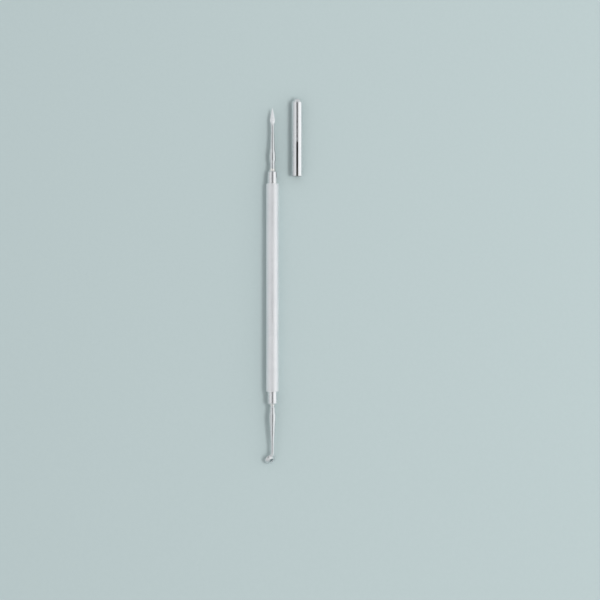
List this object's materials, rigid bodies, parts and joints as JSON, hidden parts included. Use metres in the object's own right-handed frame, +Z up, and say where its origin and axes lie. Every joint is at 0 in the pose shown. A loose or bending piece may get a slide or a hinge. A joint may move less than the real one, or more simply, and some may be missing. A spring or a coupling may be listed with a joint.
{
  "type": "blackhead extractor",
  "caption": "Slim round metal hand tool with a flat lancet point at one end, a small pierced pressing spoon at the other, and a slit push-on cap lying beside it.",
  "frame": {"origin": "on the handle's axis, halfway along the handle", "axes": "+Y along the tool towards the lancet, +Z up from the surface that the tool lies on, +X towards the loose cap"},
  "size_m": [0.0134, 0.1302, 0.0049],
  "materials": {
    "satin_nickel": "satin, fine turned grain",
    "polished_nickel": "bright plated, polished",
    "polished_steel": "bright, polished after turning and grinding",
    "silver_solder": "smooth, run to a small fillet"
  },
  "bodies": {
    "tool": {"handle_tube": "satin_nickel", "lancet_ferrule": "polished_nickel", "spoon_ferrule": "polished_nickel", "lancet_solder": "silver_solder", "spoon_solder": "silver_solder", "lancet": "polished_steel", "spoon": "polished_steel"},
    "cap": {"cap_tube": "polished_nickel", "cap_end_button": "polished_nickel"}
  },
  "joints": [
    {"name": "cap_slide", "type": "slide", "parent": "tool", "child": "cap", "axis": [0, 1, 0], "range_m": [-0.0027, 0.0253]}
  ]
}
